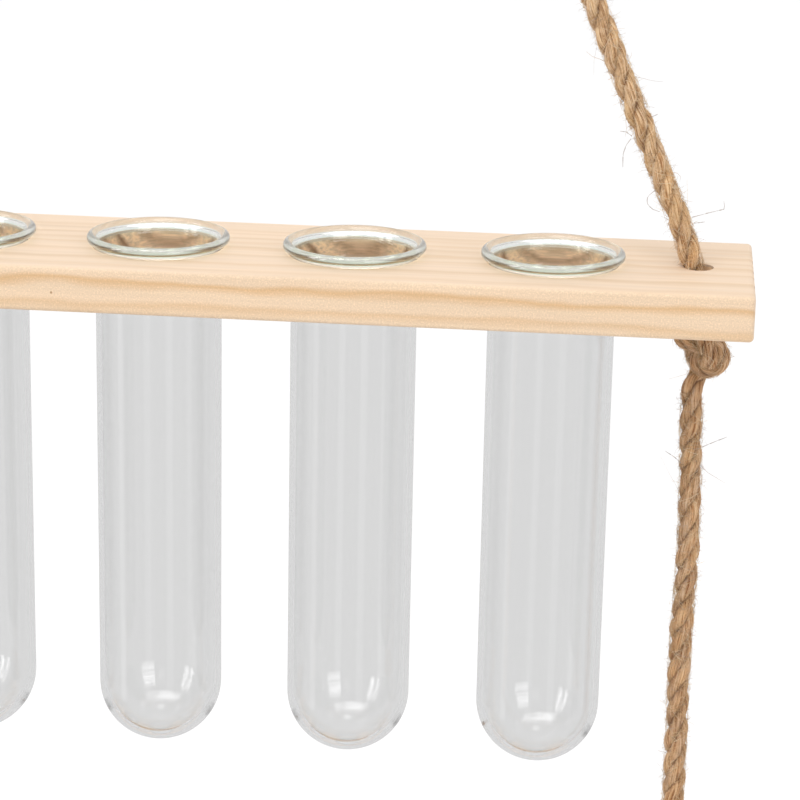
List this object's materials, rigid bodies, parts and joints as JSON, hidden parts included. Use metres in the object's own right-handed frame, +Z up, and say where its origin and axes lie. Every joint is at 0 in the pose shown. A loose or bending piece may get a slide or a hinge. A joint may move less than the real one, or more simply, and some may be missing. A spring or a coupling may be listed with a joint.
{
  "type": "hanging test tube vase rack",
  "caption": "Hanging flower vase rack: glass test tubes held by their lips in two pine bars, one under the other on a knotted jute rope with a hanging loop.",
  "frame": {"origin": "the point inside the top of the hanging loop, where a hook bears", "axes": "+Z up, +X along the bars to the right, +Y through the bars towards the wall behind"},
  "size_m": [0.3, 0.055, 0.7122],
  "materials": {
    "pine": "planed bare pine, straight fine grain, matte",
    "glass": "clear glass, smooth, faint grey-green tint at the lip",
    "jute": "three-strand twisted jute with loose fibres"
  },
  "bodies": {
    "upper_rack": {"upper_bar": "pine", "hanging_loop": "jute", "apex_knot": "jute", "rope_upper_left": "jute", "rope_upper_right": "jute", "knot_upper_left": "jute", "knot_upper_right": "jute"},
    "lower_tier": {"lower_bar": "pine", "rope_lower_left": "jute", "rope_lower_right": "jute", "knot_lower_left": "jute", "knot_lower_right": "jute", "rope_tail_left": "jute", "rope_tail_right": "jute"},
    "tube_upper_1": {"test_tube_upper_1": "glass"},
    "tube_upper_2": {"test_tube_upper_2": "glass"},
    "tube_upper_3": {"test_tube_upper_3": "glass"},
    "tube_upper_4": {"test_tube_upper_4": "glass"},
    "tube_upper_5": {"test_tube_upper_5": "glass"},
    "tube_lower_1": {"test_tube_lower_1": "glass"},
    "tube_lower_2": {"test_tube_lower_2": "glass"},
    "tube_lower_3": {"test_tube_lower_3": "glass"},
    "tube_lower_4": {"test_tube_lower_4": "glass"},
    "tube_lower_5": {"test_tube_lower_5": "glass"}
  },
  "joints": [
    {"name": "lower_tier_swing", "type": "hinge", "parent": "upper_rack", "child": "lower_tier", "pos_m": [0, 0, -0.4036], "axis": [1, 0, 0], "range_deg": [-30, 30]},
    {"name": "tube_upper_1_lift", "type": "slide", "parent": "upper_rack", "child": "tube_upper_1", "axis": [0, 0, 1], "range_m": [0, 0.03]},
    {"name": "tube_upper_2_lift", "type": "slide", "parent": "upper_rack", "child": "tube_upper_2", "axis": [0, 0, 1], "range_m": [0, 0.138]},
    {"name": "tube_upper_3_lift", "type": "slide", "parent": "upper_rack", "child": "tube_upper_3", "axis": [0, 0, 1], "range_m": [0, 0.138]},
    {"name": "tube_upper_4_lift", "type": "slide", "parent": "upper_rack", "child": "tube_upper_4", "axis": [0, 0, 1], "range_m": [0, 0.138]},
    {"name": "tube_upper_5_lift", "type": "slide", "parent": "upper_rack", "child": "tube_upper_5", "axis": [0, 0, 1], "range_m": [0, 0.03]},
    {"name": "tube_lower_1_lift", "type": "slide", "parent": "lower_tier", "child": "tube_lower_1", "axis": [0, 0, 1], "range_m": [0, 0.055]},
    {"name": "tube_lower_2_lift", "type": "slide", "parent": "lower_tier", "child": "tube_lower_2", "axis": [0, 0, 1], "range_m": [0, 0.055]},
    {"name": "tube_lower_3_lift", "type": "slide", "parent": "lower_tier", "child": "tube_lower_3", "axis": [0, 0, 1], "range_m": [0, 0.055]},
    {"name": "tube_lower_4_lift", "type": "slide", "parent": "lower_tier", "child": "tube_lower_4", "axis": [0, 0, 1], "range_m": [0, 0.055]},
    {"name": "tube_lower_5_lift", "type": "slide", "parent": "lower_tier", "child": "tube_lower_5", "axis": [0, 0, 1], "range_m": [0, 0.055]}
  ]
}
